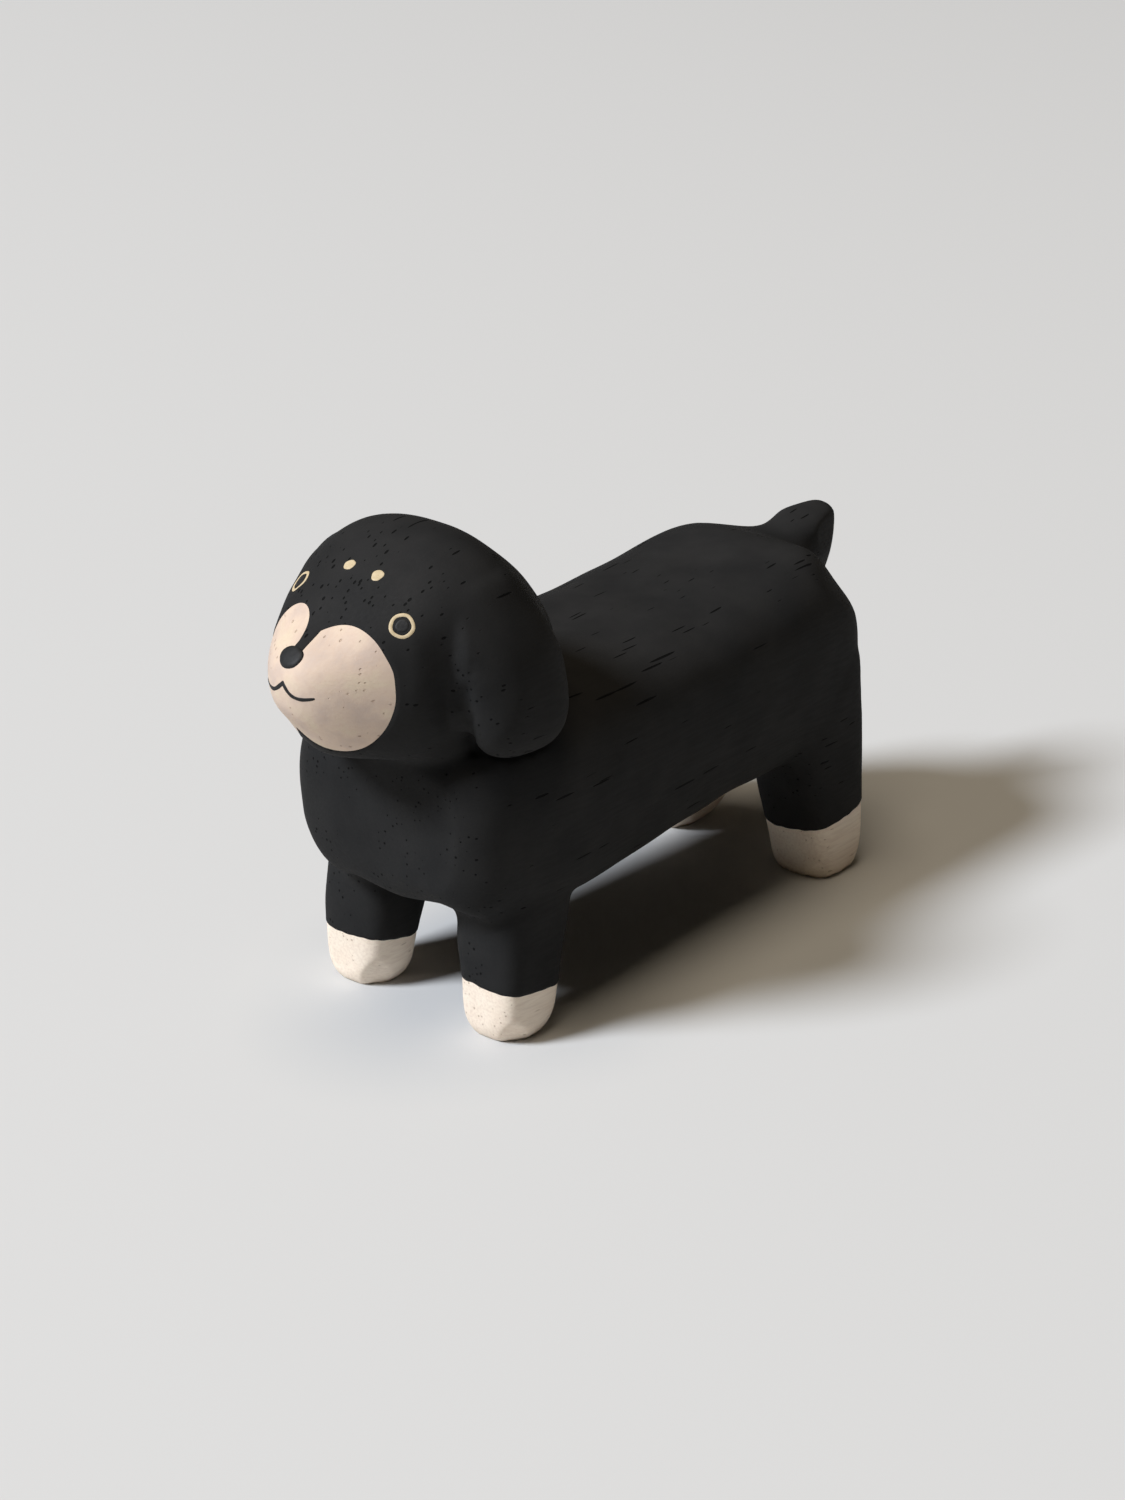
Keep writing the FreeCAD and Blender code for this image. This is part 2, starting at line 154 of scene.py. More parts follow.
# The chest is pared flat in front. Below and above, the cut fades out over these heights.
CHEST_FACING = (0.05, -1.00, 0.02)
CHEST_DEPTH = 0.75
CHEST_FADE_IN_Z = (13.0, 19.0)
CHEST_FADE_OUT_Z = (34.0, 42.0)
CHEST_BACK_Y = -30.0
CHEST_HALF_WIDTH = 19.0
KNIFE_BITE = 0.94          # share of what stands over a cut that the knife takes off

# The groove where the ear's front face leaves the cheek
CREASE_X = 15.2            # how far out it is at its middle
CREASE_Z = 50.5            # height of its middle
CREASE_BEND = 0.025        # how fast it turns inward above and below
CREASE_DEPTH = 1.35
CREASE_CHEEK_REACH = 3.2
CREASE_EAR_REACH = 0.7
CREASE_BACK_Y = -30.0
CREASE_FADE_IN_Z = (39.5, 42.0)
CREASE_FADE_OUT_Z = (54.5, 61.0)

# The finer groove all round the ear's edge, and the hand's unevenness
EDGE_GROOVE_DEPTH = 0.55
EDGE_GROOVE_UNEVENNESS = 0.12
EDGE_GROOVE_WAVELENGTH = 1.6
EDGE_GROOVE_REACH = 1.2
EDGE_GROOVE_FADE_OUT_Z = (49.0, 57.0)
HAND_UNEVENNESS = 0.09
HAND_WAVELENGTH = 9.0
SANDING = 0.5              # the last smoothing, all over
SANDING_ROUNDS = 2
SOLE_SNAP = 0.12           # what is lower than this is flat on the floor

# Bare muzzle: middle across, middle height, half width and half height of its two lobes
LEFT_LOBE = (4.15, 50.7, 6.7, 7.75)
RIGHT_LOBE = (-4.3, 50.8, 4.8, 8.1)
LOBE_BACK_Y = -41.5
STRIPE_HALF_WIDTH = 0.8    # of the black stripe between them
LOBE_UNEVENNESS = 0.05
LOBE_WAVELENGTH = 5.0

# The coat's lower edge on the legs: its height over the CAD coat's lowest point at one place on a leg,
# how fast it rises from there, and how unevenly it was brushed
FRONT_LINE_Y = -29.8
FRONT_LINE_UP = 0.35
FRONT_LINE_SLOPE = 0.17
REAR_LINE_X = 13.8
REAR_LINE_Y = 35.0
REAR_LINE_UP = 1.75
REAR_LINE_SLOPE = 0.13
REAR_LINE_OUTWARD_SLOPE = 0.08
LINE_SWAY = 0.14
LINE_SWAY_WAVELENGTH = 6.0
LINE_ROUGHNESS = 0.06
LINE_ROUGHNESS_WAVELENGTH = 1.3

# How far the brush put a few marks from the middles of their CAD nodes
MARK_SHIFTS = {
    "right_eye_ring": (0.5, 0.0, 1.0),
    "right_pupil": (0.5, 0.0, 1.0),
    "nose": (-0.35, 0.0, 0.7),
    "left_brow_dot": (0.5, 0.0, 0.4),
    "right_brow_dot": (0.2, 0.0, 0.55),
}

MARK_NODES = (
    "left_eye_ring", "right_eye_ring", "left_pupil", "right_pupil",
    "left_brow_dot", "right_brow_dot", "nose", "mouth_line",
)
MARK_MARGIN = 1.5          # how much surface is taken round a mark's box
EYE_STROKE = 0.44
EYE_SHARE = 0.91           # the brushed eye is a little smaller than the design's
NOSE_RADIUS = 1.9
NOSE_TALL = 0.80           # height over width
MOUTH_STROKE = 0.46
MOUTH_DIP_AT = 0.62        # along one half, from the peak to its end
MOUTH_FLICK = 0.25         # how far the end rises again
MOUTH_SWELL = 1.15         # width at the peak over the stroke's own
MOUTH_THINNING = 0.45      # share of the stroke that is gone at the end
MOUTH_UNEVENNESS = 0.03
MOUTH_WAVELENGTH = 1.5
RING_UNEVENNESS = 0.03     # shares of a mark's radius
PUPIL_UNEVENNESS = 0.04
BROW_UNEVENNESS = 0.07
NOSE_UNEVENNESS = 0.035

# Camera: millimetres and degrees
CAMERA_AIM = (-37.0, 39.6, 1.0)
CAMERA_DISTANCE = 532.9
CAMERA_AZIMUTH = 40.5
CAMERA_ELEVATION = 24.2
CAMERA_LENS = 85.0
CAMERA_SENSOR = 36.0

# Floor and lights: metres and watts, with each light's direction from the dog
FLOOR_HALF = 3.0
FLOOR_COLOUR = (0.64, 0.64, 0.63)
FILL = 0.025
WARM_FILL = (1.0, 0.82, 0.60)
KEY_FROM = (-0.47, -0.89, 1.0)
KEY_DISTANCE = 5.0
KEY_SIZE = 1.35
KEY_POWER = 318.0
KEY_COLOUR = (0.872, 0.918, 1.0)
SOFT_FROM = (-0.05, -0.12, 1.0)
SOFT_DISTANCE = 3.5
SOFT_SIZE = 1.8
SOFT_POWER = 42.0
SOFT_COLOUR = (1.0, 0.86, 0.67)


# ---------------------------------------------------------------- mesh as arrays

def unit(vectors):
    return vectors / np.maximum(np.linalg.norm(vectors, axis=-1, keepdims=True), 1e-12)


def read_object(obj):
    """Vertices in millimetres and triangles of an object after its modifiers."""
    evaluated = obj.evaluated_get(bpy.context.evaluated_depsgraph_get())
    mesh = evaluated.to_mesh()
    mesh.calc_loop_triangles()
    points = np.empty(len(mesh.vertices) * 3, np.float32)
    mesh.vertices.foreach_get("co", points)
    triangles = np.empty(len(mesh.loop_triangles) * 3, np.int32)
    mesh.loop_triangles.foreach_get("vertices", triangles)
    evaluated.to_mesh_clear()
    return points.reshape(-1, 3).astype(float) / MM, triangles.reshape(-1, 3)


def remeshed(node, voxel):
    """A CAD node's shape as one even mesh."""
    copy = bpy.data.objects.new("remesh_source", frame["nodes"][node].data.copy())
    bpy.context.scene.collection.objects.link(copy)
    modifier = copy.modifiers.new("even", "REMESH")
    modifier.mode = "VOXEL"
    modifier.voxel_size = voxel * MM
    points, triangles = read_object(copy)
    bpy.data.objects.remove(copy)
    return points, triangles


def edges_of(triangles):
    """Every edge once, lower vertex first, in order of their first and then their second vertex."""
    pairs = np.vstack([triangles[:, [0, 1]], triangles[:, [1, 2]], triangles[:, [2, 0]]]).astype(np.int64)
    count = int(triangles.max()) + 1
    keys = np.unique(pairs.min(axis=1) * count + pairs.max(axis=1))
    return np.stack([keys // count, keys % count], 1)


def normals_of(points, triangles):
    """Area-weighted vertex normals."""
    corners = points[triangles]
    face = np.cross(corners[:, 1] - corners[:, 0], corners[:, 2] - corners[:, 0])
    out = np.zeros_like(points)
    for corner in range(3):
        for axis in range(3):
            out[:, axis] += np.bincount(triangles[:, corner], face[:, axis], len(points))
    return unit(out)


def neighbour_mean(values, edges, degree):
    """Mean of each vertex's neighbours."""
    columns = values.reshape(len(values), -1)
    out = np.empty_like(columns)
    for axis in range(columns.shape[1]):
        column = columns[:, axis]
        total = np.bincount(edges[:, 0], column[edges[:, 1]], len(values))
        total += np.bincount(edges[:, 1], column[edges[:, 0]], len(values))
        out[:, axis] = total / degree
    return out.reshape(values.shape)


def smoothed(points, edges, weight, rounds):
    """Each vertex drifts towards its neighbours, as far as its weight lets it."""
    degree = np.bincount(edges.ravel(), minlength=len(points)).astype(float)
    pull = PULL * weight
    for _ in range(rounds):
        points = points + pull * (neighbour_mean(points, edges, degree) - points)
    return points


def spread(seeds, points, edges, reach):
    """1 at the seed vertices, falling smoothly to 0 at a distance of reach along the surface."""
    length = np.linalg.norm(points[edges[:, 0]] - points[edges[:, 1]], axis=1)
    distance = np.where(seeds, 0.0, 1e9)
    for _ in range(int(reach / VOXEL * 1.6) + 2):
        for a, b in ((0, 1), (1, 0)):
            np.minimum.at(distance, edges[:, a], distance[edges[:, b]] + length)
    share = np.clip(1 - distance / reach, 0, 1)
    return share * share * (3 - 2 * share)


def refined(points, triangles, target):
    """Splits every edge that is longer than target(middle points) says, keeping the mesh joined up."""
    for _ in range(SPLIT_ROUNDS):
        edges = edges_of(triangles)
        middles = points[edges].mean(axis=1)
        length = np.linalg.norm(points[edges[:, 0]] - points[edges[:, 1]], axis=1)
        split = length > target(middles)
        if not split.any():
            break
        count = len(points)
        new_index = np.full(len(edges), -1)
        new_index[split] = count + np.arange(split.sum())
        keys = edges[:, 0].astype(np.int64) * count + edges[:, 1]
        points = np.vstack([points, middles[split]])
        sides = np.sort(triangles[:, [[0, 1], [1, 2], [2, 0]]], axis=2).astype(np.int64)
        mid = new_index[np.searchsorted(keys, sides[:, :, 0] * count + sides[:, :, 1])]
        triangles = split_triangles(triangles, mid)
    return points, triangles


def split_triangles(triangles, mid):
    """Triangles cut at the middles of their marked sides. mid holds a new vertex or -1 for each side."""
    marked = (mid >= 0).sum(axis=1)
    parts = [triangles[marked == 0]]
    a, b, c = triangles[marked == 3].T
    ab, bc, ca = mid[marked == 3].T
    parts += [np.stack(t, 1) for t in ((a, ab, ca), (ab, b, bc), (ca, bc, c), (ab, bc, ca))]
    for turn in range(3):
        order = [turn, (turn + 1) % 3, (turn + 2) % 3]
        tri, side = triangles[:, order], mid[:, order]
        one = (marked == 1) & (side[:, 0] >= 0)
        a, b, c = tri[one].T
        ab = side[one, 0]
        parts += [np.stack(t, 1) for t in ((a, ab, c), (ab, b, c))]
        two = (marked == 2) & (side[:, 2] < 0)
        a, b, c = tri[two].T
        ab, bc = side[two, 0], side[two, 1]
        parts += [np.stack(t, 1) for t in ((a, ab, c), (ab, bc, c), (ab, b, bc))]
    return np.vstack(parts)


def clipped(points, triangles, normals, keep):
    """The part of a mesh where keep is above zero, with its edge cut along the line where keep is zero."""
    keep = np.where(np.abs(keep) < 1e-6, 1e-6, keep)
    inside = keep > 0
    edges = edges_of(triangles)
    crossing = inside[edges[:, 0]] != inside[edges[:, 1]]
    a, b = edges[crossing].T
    share = (keep[a] / (keep[a] - keep[b]))[:, None]
    count = len(points)
    cut = np.full(len(edges), -1)
    cut[crossing] = count + np.arange(crossing.sum())
    keys = edges[:, 0].astype(np.int64) * count + edges[:, 1]
    points = np.vstack([points, points[a] + share * (points[b] - points[a])])
    normals = unit(np.vstack([normals, normals[a] + share * (normals[b] - normals[a])]))
    sides = np.sort(triangles[:, [[0, 1], [1, 2], [2, 0]]], axis=2).astype(np.int64)
    mid = cut[np.searchsorted(keys, sides[:, :, 0] * count + sides[:, :, 1])]
    kept = inside[triangles].sum(axis=1)
    parts = [triangles[kept == 3]]
    for turn in range(3):
        order = [turn, (turn + 1) % 3, (turn + 2) % 3]
        tri, side = triangles[:, order], mid[:, order]
        lone = (kept == 1) & inside[tri[:, 0]]
        parts.append(np.stack([tri[lone, 0], side[lone, 0], side[lone, 2]], 1))
        pair = (kept == 2) & ~inside[tri[:, 0]]
        ab, ca, b, c = side[pair, 0], side[pair, 2], tri[pair, 1], tri[pair, 2]
        parts += [np.stack([ab, b, c], 1), np.stack([ab, c, ca], 1)]
    return compacted(points, np.vstack(parts), normals)


def compacted(points, triangles, *others):
    """Drops the vertices that no triangle uses."""
    used, inverse = np.unique(triangles, return_inverse=True)
    return (points[used], inverse.reshape(-1, 3)) + tuple(values[used] for values in others)


def film(points, triangles, normals, height):
    """A closed solid: the patch raised by height, its underside sunk below it, and a rim between them."""
    count = len(points)
    height = np.broadcast_to(height, count)[:, None]
    top = points + normals * height
    bottom = points - normals * SUNK
    directed = np.vstack([triangles[:, [0, 1]], triangles[:, [1, 2]], triangles[:, [2, 0]]]).astype(np.int64)
    keys = directed[:, 0] * count + directed[:, 1]
    back = directed[:, 1] * count + directed[:, 0]
    a, b = directed[~np.isin(keys, back)].T
    rim = np.vstack([np.stack([b, a, a + count], 1), np.stack([b, a + count, b + count], 1)])
    return np.vstack([top, bottom]), np.vstack([triangles, triangles[:, ::-1] + count, rim])


def made_object(name, points, triangles, material, slot, node):
    """A shown piece that stands for a CAD node and rides on the object."""
    mesh = bpy.data.meshes.new(name)
    mesh.vertices.add(len(points))
    mesh.vertices.foreach_set("co", (points * MM).astype(np.float32).ravel())
    mesh.loops.add(len(triangles) * 3)
    mesh.loops.foreach_set("vertex_index", triangles.astype(np.int32).ravel())
    mesh.polygons.add(len(triangles))
    mesh.polygons.foreach_set("loop_start", np.arange(0, len(triangles) * 3, 3, dtype=np.int32))
    mesh.update(calc_edges=True)
    mesh.validate()
    mesh.polygons.foreach_set("use_smooth", np.ones(len(mesh.polygons), bool))
    mesh.materials.append(material)
    obj = bpy.data.objects.new(name, mesh)
    bpy.context.scene.collection.objects.link(obj)
    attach(obj, "root")
    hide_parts(node)


# ---------------------------------------------------------------- the carving

def waves(points, wavelength, seed):
    """Smooth irregular values between about -1 and 1, made of a few crossing waves."""
    random = np.random.default_rng(seed)
    total = np.zeros(len(points))
    for _ in range(WAVE_COUNT):
        direction = unit(random.normal(size=3))
        phase = random.uniform(0, 2 * math.pi)
        scale = random.uniform(0.7, 1.4) * wavelength
        total += np.sin(points @ direction * 2 * math.pi / scale + phase)
    return total / WAVE_COUNT ** 0.5 / WAVE_HEIGHT


def centre_of(node):
    """Middle of a painted mark, where the brush put it."""
    low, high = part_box(node)
    return np.array((low + high) / 2) / MM + MARK_SHIFTS.get(node, (0.0, 0.0, 0.0))


def radius_of(node):
    """Radius of a round mark, whichever way it faces: its box's diagonal squared is 8 radii squared."""
    low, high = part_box(node)
    return math.sqrt((high - low).length_squared / 8) / MM


def step(values, low, high):
    """0 below low, 1 above high, smooth between."""
    share = np.clip((values - low) / (high - low), 0, 1)
    return share * share * (3 - 2 * share)


def in_head_frame(points):
    """Points as the head sees them before it was turned."""
    x, y = points[:, 0], points[:, 1] - NECK_Y
    cos, sin = math.cos(HEAD_TURN), math.sin(HEAD_TURN)
    return np.stack([cos * x - sin * y, NECK_Y + sin * x + cos * y, points[:, 2]], 1)


def concave_seeds(points, triangles, edges):
    """Vertices that lie in a crease: their neighbours stand outward of them."""
    degree = np.bincount(edges.ravel(), minlength=len(points)).astype(float)
    soft = points
    for _ in range(2):
        soft = neighbour_mean(soft, edges, degree)
    outward = ((soft - points) * normals_of(points, triangles)).sum(axis=1)
    return outward > CREASE_LEAST


def within(head, ranges):
    """Which points, given in the head's frame, lie in ranges of distance from the middle, y and z."""
    inside = np.ones(len(head), bool)
    for values, (low, high) in zip((np.abs(head[:, 0]), head[:, 1], head[:, 2]), ranges):
        inside &= (values > low) & (values < high)
    return inside


def cut_flat(points, near, facing, depth, fade):
    """Pares the near points down to a flat that lies depth inside their outermost point."""
    facing = unit(np.array(facing, float))
    chosen = points[near]
    along = chosen @ facing
    share = fade[near]
    over = np.clip(along - (along[share > 0.5].max() - depth), 0, None)
    points[near] = chosen - np.outer(over * KNIFE_BITE * share, facing)


def whittled(points):
    """The flat cuts of the knife on legs, chest and tail."""
    points = points.copy()
    for legs, (out_x, face_y, face_z), depth, fade_z in LEG_CUTS:
        for leg in legs:
            side = 1 if leg.endswith("left") else -1
            is_rear = leg.startswith("rear")
            near = (points[:, 2] < fade_z) & (points[:, 0] * side > 0) & ((points[:, 1] > 0) == is_rear)
            fade = 1 - step(points[:, 2], LEG_CUT_FULL_SHARE * fade_z, fade_z)
            cut_flat(points, near, (out_x * side, face_y, face_z), depth, fade)
    y, z = points[:, 1], points[:, 2]
    beside = np.abs(points[:, 0]) < CHEST_HALF_WIDTH
    near = (y < CHEST_BACK_Y) & (z > CHEST_FADE_IN_Z[0]) & (z < CHEST_FADE_OUT_Z[1]) & beside
    fade = step(z, *CHEST_FADE_IN_Z) * (1 - step(z, *CHEST_FADE_OUT_Z))
    cut_flat(points, near, CHEST_FACING, CHEST_DEPTH, fade)
    for facing, depth in TAIL_CUTS:
        near = (points[:, 1] > TAIL_CUT_Y[0]) & (points[:, 2] > TAIL_CUT_LEAST_Z)
        cut_flat(points, near, facing, depth, step(points[:, 1], *TAIL_CUT_Y))
    return points


def blended(points, triangles, edges):
    """The joins rounded as a knife and sandpaper leave them, and which vertices are on an ear's edge."""
    creases = concave_seeds(points, triangles, edges)
    head = in_head_frame(points)
    on_ear_edge = creases & within(head, EAR_EDGE[:3])
    on_tail_root = creases & within(head, TAIL_ROOT[:3])
    joins = [
        (creases & ~on_ear_edge & ~on_tail_root, OTHER_REACH, OTHER_ROUNDS),
        (on_ear_edge, *EAR_EDGE[3:]),
        (creases & within(head, NAPE[:3]) & ~on_ear_edge, *NAPE[3:]),
    ]
    joins += [(creases & within(head, join[:3]), *join[3:]) for join in (THROAT, EAR_TOP, HAUNCH, SHOULDER)]
    joins.append((on_tail_root, *TAIL_ROOT[3:]))
    for seeds, reach, rounds in joins:
        points = smoothed(points, edges, spread(seeds, points, edges, reach)[:, None], rounds)
    return points, on_ear_edge


def ear_grooves(head, points, edges, on_ear_edge):
    """How deep the knife went in front of the ears and round their edges. head is before any cut."""
    across, y, z = head.T
    beyond = np.abs(across) - CREASE_X + CREASE_BEND * (z - CREASE_Z) ** 2
    valley = step(beyond, -CREASE_CHEEK_REACH, 0.0) * (1 - step(beyond, 0.0, CREASE_EAR_REACH))
    in_front = (y < CREASE_BACK_Y) * step(z, *CREASE_FADE_IN_Z) * (1 - step(z, *CREASE_FADE_OUT_Z))
    uneven = EDGE_GROOVE_UNEVENNESS * waves(points, EDGE_GROOVE_WAVELENGTH, SEED + 11)
    edge = spread(on_ear_edge, points, edges, EDGE_GROOVE_REACH) * (1 - step(z, *EDGE_GROOVE_FADE_OUT_Z))
    return CREASE_DEPTH * valley * in_front + edge * (EDGE_GROOVE_DEPTH + uneven)


def carved_master():
    """The whole carving in bare wood, its joins blended and its cuts made."""
    points, triangles = remeshed("carved_body", VOXEL)
    edges = edges_of(triangles)
    head = in_head_frame(points)
    points, on_ear_edge = blended(points, triangles, edges)
    for middle, reach, shift in NUDGES:
        share = 1 - step(np.linalg.norm(points - middle, axis=1), 0, reach)
        points = points + share[:, None] * shift
    points = whittled(points)
    grooves = ear_grooves(head, points, edges, on_ear_edge)
    hand = HAND_UNEVENNESS * waves(points, HAND_WAVELENGTH, SEED)
    points = points + normals_of(points, triangles) * (hand - grooves)[:, None]
    points = smoothed(points, edges, SANDING, SANDING_ROUNDS)
    points[:, 2] = np.where(points[:, 2] < SOLE_SNAP, 0.0, points[:, 2])
    return points, triangles


# ---------------------------------------------------------------- where the paint is

def ellipse_depth(x, z, half_width, half_height):
    """About how far inside an ellipse round the origin a point is, negative outside."""
    level = np.hypot(x / half_width, z / half_height)
    slope = np.hypot(x / half_width ** 2, z / half_height ** 2) / np.maximum(level, 1e-6)
    return (1 - level) / np.maximum(slope, 1e-3)


def bare_muzzle_depth(points):
    """How far inside the unpainted muzzle a point is: two lobes, parted by the stripe above the nose."""
    x, y, z = in_head_frame(points).T
    wobble = LOBE_UNEVENNESS * waves(points, LOBE_WAVELENGTH, SEED + 1)
    nose_z = centre_of("nose")[2]
    left, right = (
        ellipse_depth(x - middle_x, z - middle_z, half_width, half_height)
        for middle_x, middle_z, half_width, half_height in (LEFT_LOBE, RIGHT_LOBE)
    )
    lobes = np.maximum(left, right) + wobble
    beside_stripe = np.maximum(np.abs(x) - STRIPE_HALF_WIDTH + 0.5 * wobble, nose_z - z)
    return np.minimum(np.minimum(lobes, beside_stripe), LOBE_BACK_Y - y)


def paint_line_z(points):
    """Height of the coat's lower edge, which rises towards both ends of the dog."""
    coat_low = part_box("black_coat")[0].z / MM
    x, y, _ = points.T
    front = coat_low + FRONT_LINE_UP - FRONT_LINE_SLOPE * (y - FRONT_LINE_Y)
    outward = REAR_LINE_OUTWARD_SLOPE * (np.abs(x) - REAR_LINE_X)
    rear = coat_low + REAR_LINE_UP + REAR_LINE_SLOPE * (y - REAR_LINE_Y) + outward
    sway = LINE_SWAY * waves(points * (1, 1, 0), LINE_SWAY_WAVELENGTH, SEED + 2)
    rough = LINE_ROUGHNESS * waves(points, LINE_ROUGHNESS_WAVELENGTH, SEED + 3)
    return np.where(y > 0, rear, front) + sway + rough


def coat_depth(points):
    """How far inside the black coat a point is, negative where the wood is bare."""
    return np.minimum(points[:, 2] - paint_line_z(points), -bare_muzzle_depth(points))


# ---------------------------------------------------------------- painted marks

def wobbly_radius(angle, radius, unevenness, seed):
    """Radius of a round mark set down by hand, by the angle round it."""
    random = np.random.default_rng(seed)
    out = np.full(len(angle), radius)
    for turns in (2, 3, 5):
        out += unevenness * radius * random.uniform(-1, 1) * np.cos(turns * angle + random.uniform(0, 6.3))
    return out


def disc_depth(radius, unevenness, seed, tall=1.0):
    """How far inside a brushed disc a point is, as a function of where it is in the mark's own plane."""
    def depth(across, up, _):
        up = up / tall
        return wobbly_radius(np.arctan2(up, across), radius, unevenness, seed) - np.hypot(across, up)
    return depth


def ring_depth(outer, stroke, unevenness, seed):
    """The same for a brushed ring."""
    def depth(across, up, _):
        angle = np.arctan2(up, across)
        inside_outer = wobbly_radius(angle, outer, unevenness, seed) - np.hypot(across, up)
        outside_inner = np.hypot(across, up) - wobbly_radius(angle, outer - stroke, unevenness, seed + 1)
        return np.minimum(inside_outer, outside_inner)
    return depth


def mouth_depth(_across, _up, points):
    """How far inside the mouth's brush stroke a point is. Both halves dip from a peak under the nose."""
    low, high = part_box("mouth_line")
    half_width = (high.x - low.x) / 2 / MM
    head = in_head_frame(points)
    middle = in_head_frame(centre_of("mouth_line")[None])[0]
    x = head[:, 0] - middle[0]
    z = head[:, 2]
    reach = half_width - MOUTH_STROKE / 2
    peak_z = high.z / MM - MOUTH_STROKE / 2
    dip_z = low.z / MM + MOUTH_STROKE / 2
    along = np.linspace(0, 1, 40)
    curve_z = np.where(
        along < MOUTH_DIP_AT,
        dip_z + (peak_z - dip_z) * (1 - along / MOUTH_DIP_AT) ** 2,
        dip_z + MOUTH_FLICK * ((along - MOUTH_DIP_AT) / (1 - MOUTH_DIP_AT)) ** 2,
    )
    gap = np.hypot(np.abs(x)[:, None] - along * reach, z[:, None] - curve_z)
    nearest = gap.argmin(axis=1)
    width = MOUTH_STROKE * (MOUTH_SWELL - MOUTH_THINNING * along[nearest] ** 2)
    uneven = MOUTH_UNEVENNESS * waves(points, MOUTH_WAVELENGTH, SEED + 5)
    return width / 2 + uneven - gap.min(axis=1)


# ---------------------------------------------------------------- materials

def add_node(tree, kind, settings=None, inputs=None):
    """A node with its settings, and with its inputs set or linked by name or number."""
    made = tree.nodes.new(kind)
    for name, value in (settings or {}).items():
        setattr(made, name, value)
    for name, value in (inputs or {}).items():
        if isinstance(value, bpy.types.NodeSocket):
            tree.links.new(value, made.inputs[name])
        else:
            made.inputs[name].default_value = value
    return made


def new_material(name, colour, roughness, specular):
    """A material, its node tree, its shader, and coordinates in millimetres of the object's frame."""
    material = bpy.data.materials.new(name)
    material.use_nodes = True
    tree = material.node_tree
    shader = tree.nodes["Principled BSDF"]
    shader.inputs["Base Color"].default_value = (*colour, 1)
    shader.inputs["Roughness"].default_value = roughness
    shader.inputs["Specular IOR Level"].default_value = specular
    place = add_node(tree, "ShaderNodeTexCoord").outputs["Object"]
    millimetres = add_node(
        tree, "ShaderNodeMapping", inputs={"Vector": place, "Scale": (1 / MM, 1 / MM, 1 / MM)}
    ).outputs["Vector"]
    return material, tree, shader, millimetres


def stretched(tree, place, scale):
    """The coordinates times a scale for each axis."""
    return add_node(
        tree, "ShaderNodeMapping", inputs={"Vector": place, "Scale": scale}
    ).outputs["Vector"]


def noise(tree, place, scale, detail=3.0):
    return add_node(tree, "ShaderNodeTexNoise", inputs={
        "Vector": place, "Scale": scale, "Detail": detail, "Roughness": 0.55,
    }).outputs["Fac"]


def ranged(tree, value, low, high, to_low, to_high):
    """The value as it goes from low to high, turned into to_low to to_high with smooth ends."""
    return add_node(tree, "ShaderNodeMapRange", {"interpolation_type": "SMOOTHSTEP"}, {
        "Value": value, "From Min": low, "From Max": high, "To Min": to_low, "To Max": to_high,
    }).outputs["Result"]


def maths(tree, operation, first, second):
    return add_node(tree, "ShaderNodeMath", {"operation": operation}, {0: first, 1: second}).outputs[0]


def ramp(tree, value, stops):
    """A colour picked by the value from stops of position and colour."""
    made = add_node(tree, "ShaderNodeValToRGB", inputs={"Fac": value})
    points = made.color_ramp.elements
    points[0].position, points[0].color = stops[0][0], (*stops[0][1], 1)
    points[1].position, points[1].color = stops[-1][0], (*stops[-1][1], 1)
    for position, colour in stops[1:-1]:
        points.new(position).color = (*colour, 1)
    return made.outputs["Color"]


def mixed(tree, share, first, second):
    """The first colour where share is 0, the second where it is 1."""
    made = add_node(tree, "ShaderNodeMix", {"data_type": "RGBA"})
    for index, value in ((0, share), (6, first), (7, second)):
        if isinstance(value, bpy.types.NodeSocket):
            tree.links.new(value, made.inputs[index])
        else:
            made.inputs[index].default_value = value
    return made.outputs[2]


def pores(tree, place, spacing, length, radius):
    """1 inside the wood's open vessels, which run along Y: slits on its sides and dots on its ends."""
    stretch = radius / length
    along = stretched(tree, place, (1 / spacing, stretch / spacing, 1 / spacing))
    cells = add_node(tree, "ShaderNodeTexVoronoi", {"feature": "F1"}, {"Vector": along, "Scale": 1.0})
    gap = cells.outputs["Distance"]
    # Each cell may hold one vessel, and its random colour says how wide that is
    pick = add_node(tree, "ShaderNodeSeparateColor", inputs={"Color": cells.outputs["Color"]}).outputs["Red"]
    # Vessels are wide in some patches of the wood and closed in others
    cluster = noise(tree, stretched(tree, place, (0.16, 0.03, 0.16)), 1.0, 2.0)
    size = ranged(tree, pick, 0.10, 0.75, 0.0, radius / spacing)
    size = maths(tree, "MULTIPLY", size, ranged(tree, cluster, 0.38, 0.58, 0.15, 1.15))
    return ranged(tree, maths(tree, "SUBTRACT", size, gap), -0.02, 0.05, 0.0, 1.0)


def bumped(tree, shader, height, distance_mm):
    """Gives the shader fine relief of this height."""
    bump = add_node(tree, "ShaderNodeBump", inputs={
        "Strength": 1.0, "Distance": distance_mm * MM, "Height": height,
    })
    tree.links.new(bump.outputs["Normal"], shader.inputs["Normal"])


